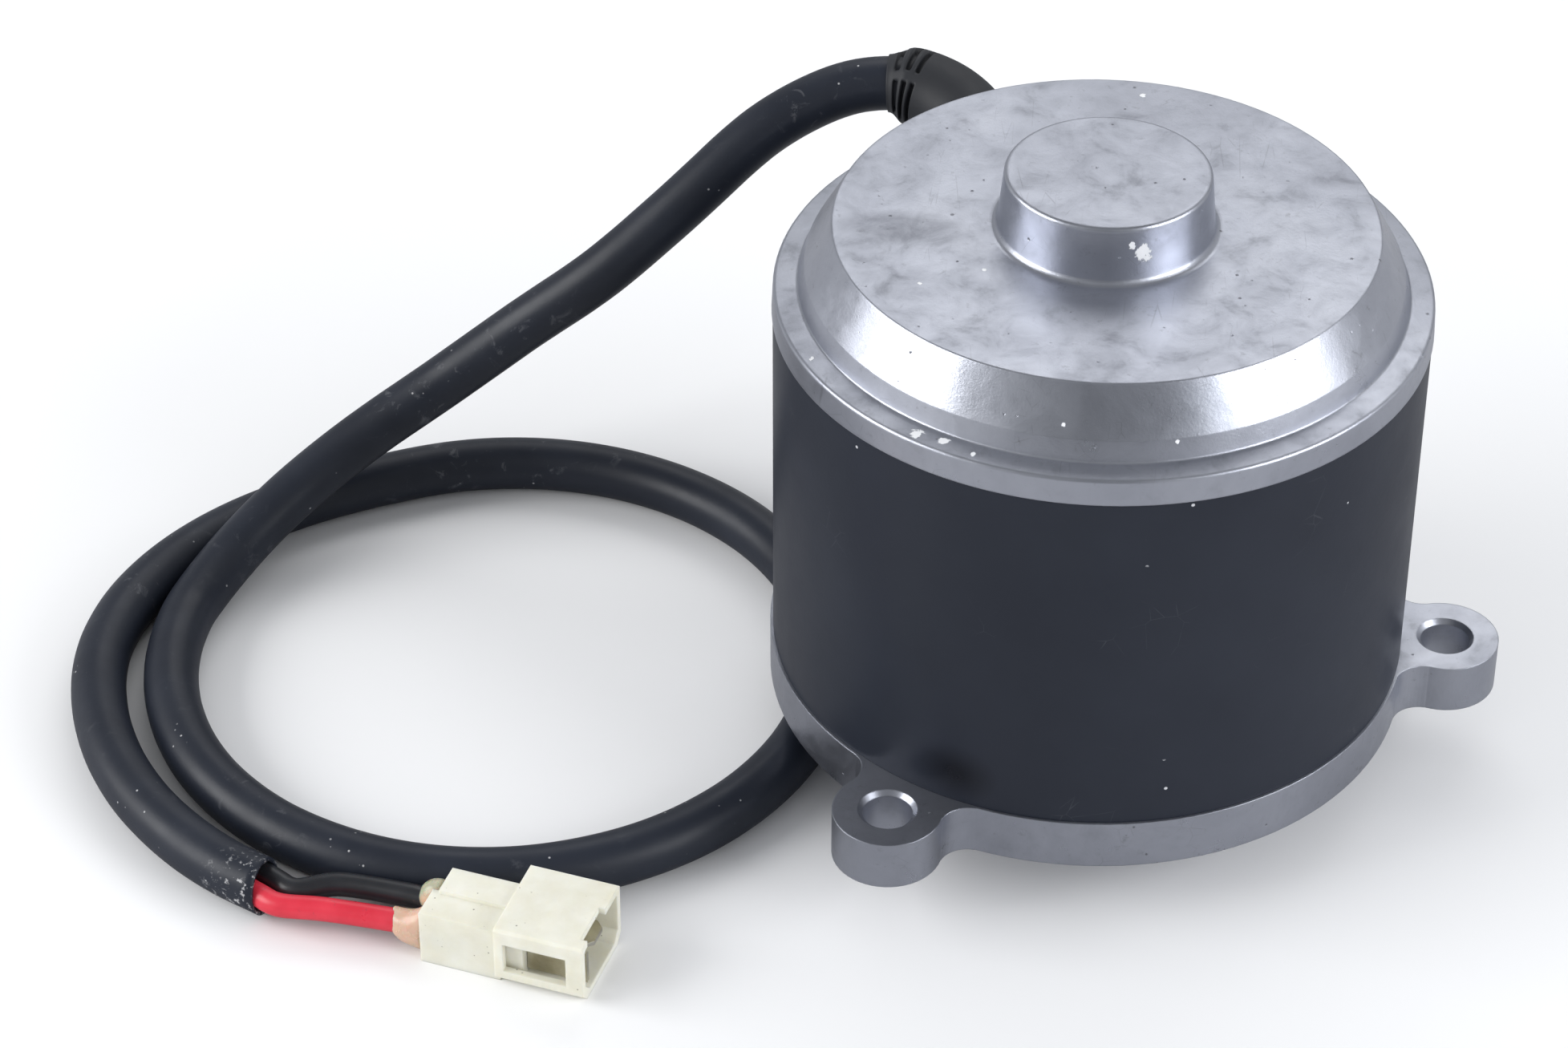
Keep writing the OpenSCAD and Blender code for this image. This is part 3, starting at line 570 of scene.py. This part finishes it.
def wire_piece(name, node, slot_name):
    """One core, drawn 5 mm further back into the sheath. Returns the CAD node's ring centres."""
    near_cut = min((v.co for v in NODES[node].data.vertices), key=lambda c: (c - cable_path[-1]).length)
    rings = ring_centres(node, near_cut, 2.3 * WIRE_R)
    path = smooth_path(offset_path(rings, 5 * MM), 0.8 * MM)

    def radius(index, _angle):
        return WIRE_R * (1 + 0.012 * noise.noise(path[index] * 200))

    bm = bmesh.new()
    sweep(bm, path, radius, 24)
    piece = mesh_object(name, bm, slot_name)
    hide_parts(node)
    return rings


def boot_piece():
    """Rubber elbow: tapered nose, three slots in each of four rows, a slim neck in the tube's slot."""
    neck_r = 5.25 * MM
    swell = 1.75 * MM
    nose_length = 4.2 * MM
    neck_length = 9 * MM
    shoulder_length = 5 * MM
    slots_from_nose = [2.1 * MM, 4.15 * MM, 6.2 * MM]
    slot_depth = 1.55 * MM
    half_slot = 0.62 * MM
    slot_wall = 0.3 * MM
    half_row = 36.5
    row_end = 4
    first_row = 88
    sides = 120
    fine = smooth_path(cable_path[:60], 0.22 * MM)
    places = [min(range(0, len(fine), 4), key=lambda i: (fine[i] - vert.co).length_squared)
              for vert in NODES["cable_boot"].data.vertices]
    path = fine[min(places):max(places) + 1]
    step = (path[1] - path[0]).length
    total = step * (len(path) - 1)

    def radius(index, angle):
        from_nose = total - index * step
        from_tube = index * step
        body = neck_r + swell * smoothstep(from_nose / nose_length) * smoothstep(
            (from_tube - neck_length) / shoulder_length)
        off_row = abs((math.degrees(angle) - first_row + 45) % 90 - 45)
        off_slot = min(abs(from_nose - place) for place in slots_from_nose)
        in_row = smoothstep((half_row - off_row) / row_end)
        in_slot = smoothstep((half_slot - off_slot) / slot_wall)
        return body - slot_depth * in_row * in_slot

    bm = bmesh.new()
    outer = sweep(bm, path, radius, sides, closed_start=False, closed_end=False)
    for ring, centre in ((outer[0], path[0]), (outer[-1], path[-1])):
        inner = [bm.verts.new(centre + (vert.co - centre).normalized() * SHEATH_R * 0.99) for vert in ring]
        join_rings(bm, ring, inner)
    piece = mesh_object("cable_boot_elbow", bm, "boot_rubber")
    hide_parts("cable_boot")


cable_piece()
boot_piece()
red_rings = wire_piece("wire_red_core", "wire_red", "red_insulation")
black_rings = wire_piece("wire_black_core", "wire_black", "black_insulation")


# ---------- plug and glue ----------

def connector_shell():
    """The housing's CAD shape with real rounded edges."""
    edge_angle = math.radians(38)
    bm = welded("connector_housing")
    bmesh.ops.dissolve_limit(bm, angle_limit=math.radians(1), verts=bm.verts, edges=bm.edges)
    piece = mesh_object("connector_shell", bm, SLOT_OF["connector_housing"])
    piece.data.set_sharp_from_angle(angle=edge_angle)
    bevel = piece.modifiers.new("edges", "BEVEL")
    bevel.width = 0.35 * MM
    bevel.segments = 3
    bevel.limit_method = "ANGLE"
    bevel.angle_limit = edge_angle
    bevel.harden_normals = True
    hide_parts("connector_housing")


plug_way = (red_rings[-1] - red_rings[-2]).normalized()
plug_side = Z.cross(plug_way)
turned = [(v.co.dot(plug_way), v.co.dot(plug_side), v.co.z)
          for v in NODES["connector_housing"].data.vertices]
plug_corner = [min(place[k] for place in turned) for k in range(3)]


def in_plug(point):
    """A point as (along the plug, across it, height), from the corner of its box."""
    return Vector((point.dot(plug_way), point.dot(plug_side), point.z)) - Vector(plug_corner)


def from_plug(x, y, z):
    """The point at those three distances."""
    at = Vector((x, y, z)) + Vector(plug_corner)
    return plug_way * at.x + plug_side * at.y + Z * at.z


def glue_blob(name, rings, sections):
    """Lofted lump around a wire's entry. Each section is (along the plug, half width, half height, up from
    the cell, across from the cell), in mm."""
    cell = in_plug(rings[-1])
    bm = bmesh.new()
    sides = 28
    loops = []
    for along, half_y, half_z, up, across in sections:
        loop = []
        for k in range(sides):
            a = 2 * math.pi * k / sides
            grain = 1 + 0.10 * noise.noise(Vector((along * 0.5, math.cos(a) * 1.3, math.sin(a) * 1.3)))
            y = cell.y + (across + half_y * math.cos(a) * grain) * MM
            z = cell.z + (up + half_z * math.sin(a) * grain) * MM
            loop.append(bm.verts.new(from_plug(along * MM, y, max(z, 0.1 * MM))))
        loops.append(loop)
    for first, second in zip(loops, loops[1:]):
        join_rings(bm, first, second)
    bm.faces.new(list(reversed(loops[0])))
    bm.faces.new(loops[-1])
    piece = mesh_object(name, bm, "hot_melt")
    subdivided = piece.modifiers.new("round", "SUBSURF")
    subdivided.levels = subdivided.render_levels = 1
    return piece


connector_shell()
near_glue = glue_blob("glue_near", red_rings, [
    (-6.4, 0.9, 0.8, 1.2, 0.9), (-6.0, 1.9, 1.7, 0.4, 0.4), (-5.0, 2.4, 2.5, -0.2, 0.0),
    (-3.4, 2.6, 3.1, -0.6, 0.0), (-1.8, 2.7, 3.8, -0.5, 0.1), (-0.5, 2.8, 4.5, -0.1, 0.2),
    (0.05, 2.8, 4.6, 0.0, 0.2)])
far_glue = glue_blob("glue_far", black_rings, [
    (-2.9, 1.2, 1.2, 1.6, -0.2), (-2.4, 2.2, 2.2, 1.6, -0.3), (-1.2, 2.6, 3.0, 1.8, -0.4),
    (0.4, 2.7, 3.4, 1.9, -0.4), (1.45, 2.5, 3.4, 1.8, -0.4)])
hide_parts("glue_seals")
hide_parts("glue_seals")


# ---------- brush springs ----------

def brush_spring(side):
    """Coil behind the brush, its outer end fixed; in the motor it shortens as the brush slides out. Here it
    is a still copy of the CAD node's mesh.
    """
    node = f"brush_spring_{side}"
    piece = mesh_object(f"{node}_coil", welded(node), SLOT_OF[node])
    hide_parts(node)
    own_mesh(piece)


brush_spring("a")
brush_spring("b")


# ---------- studio ----------

def plain_floor():
    """Pale floor. It shows darker in reflections, which keeps the metal's contrast."""
    bm = bmesh.new()
    bmesh.ops.create_grid(bm, x_segments=1, y_segments=1, size=3.0)
    mesh = bpy.data.meshes.new("floor")
    bm.to_mesh(mesh)
    bm.free()
    floor = bpy.data.objects.new("floor", mesh)
    bpy.context.scene.collection.objects.link(floor)
    floor.location.z = FLOOR_Z
    material, g = new_material("pale_floor")
    colour = g.ramp(g.noise(3, 2.0), [(0.3, (0.90, 0.90, 0.905)), (0.7, (0.93, 0.93, 0.935))])
    mirrored = g.node("ShaderNodeLightPath").outputs["Is Glossy Ray"]
    colour = g.mix(mirrored, colour, (0.44, 0.44, 0.45))
    g.surface(Base_Color=colour, Roughness=0.8, Specular_IOR_Level=0.2)
    floor.data.materials.append(material)


def soft_sky():
    """White surroundings, darker overhead, low in front and in reflections."""
    strength = 0.95
    held_back_in_reflections = 0.50
    world = bpy.data.worlds.new("studio")
    world.use_nodes = True
    world.node_tree.nodes.clear()
    w = Graph(world.node_tree)
    w.position = w.node("ShaderNodeTexCoord").outputs["Generated"]
    front = w.math("MULTIPLY", w.axis(1), -1.0)
    height = w.ramp(w.axis(2), [(0.0, 1.0), (0.45, 0.92), (0.75, 0.62), (1.0, 0.45)])
    facing = w.ramp(front, [(0.78, 1.0), (0.95, 0.34)])
    shaded = w.mix(1.0, height, facing, "MULTIPLY")
    sky = w.node("ShaderNodeBackground")
    w.feed(sky.inputs["Color"], w.mix(1.0, shaded, (0.95, 0.97, 1.0), "MULTIPLY"))
    mirrored = w.node("ShaderNodeLightPath").outputs["Is Glossy Ray"]
    held_back = w.math("MULTIPLY", mirrored, held_back_in_reflections)
    w.feed(sky.inputs["Strength"], w.math("SUBTRACT", strength, held_back))
    w.tree.links.new(sky.outputs["Background"], w.node("ShaderNodeOutputWorld").inputs["Surface"])
    bpy.context.scene.world = world


def softbox(name, place, size, power, colour):
    """Rectangular light that points at the motor's middle."""
    middle = Vector((0, 0, 0.06))
    data = bpy.data.lights.new(name, "AREA")
    data.shape = "RECTANGLE"
    data.size, data.size_y = size
    data.energy = power
    data.specular_factor = 0.42
    data.color = colour
    light = bpy.data.objects.new(name, data)
    bpy.context.scene.collection.objects.link(light)
    light.location = place
    light.rotation_euler = (middle - Vector(place)).to_track_quat("-Z", "Y").to_euler()


def photo_camera():
    data = bpy.data.cameras.new("camera")
    data.sensor_width = 36
    data.lens = 104.5
    data.clip_end = 10
    camera = bpy.data.objects.new("camera", data)
    bpy.context.scene.collection.objects.link(camera)
    camera.location = (0, -0.6269, 0.5046)
    camera.rotation_euler = (math.radians(52.75), 0, math.radians(4.84))
    bpy.context.scene.camera = camera


plain_floor()
soft_sky()
softbox("left_softbox", (-0.95, -0.22, 0.46), (0.75, 0.55), 7, (1, 1, 1))
softbox("right_softbox", (0.92, -0.36, 0.46), (0.75, 0.55), 7, (0.97, 0.98, 1))
softbox("back_softbox", (0.1, 0.75, 0.85), (0.9, 0.5), 2.2, (1, 1, 1))
photo_camera()
bpy.context.scene.view_settings.view_transform = "Standard"
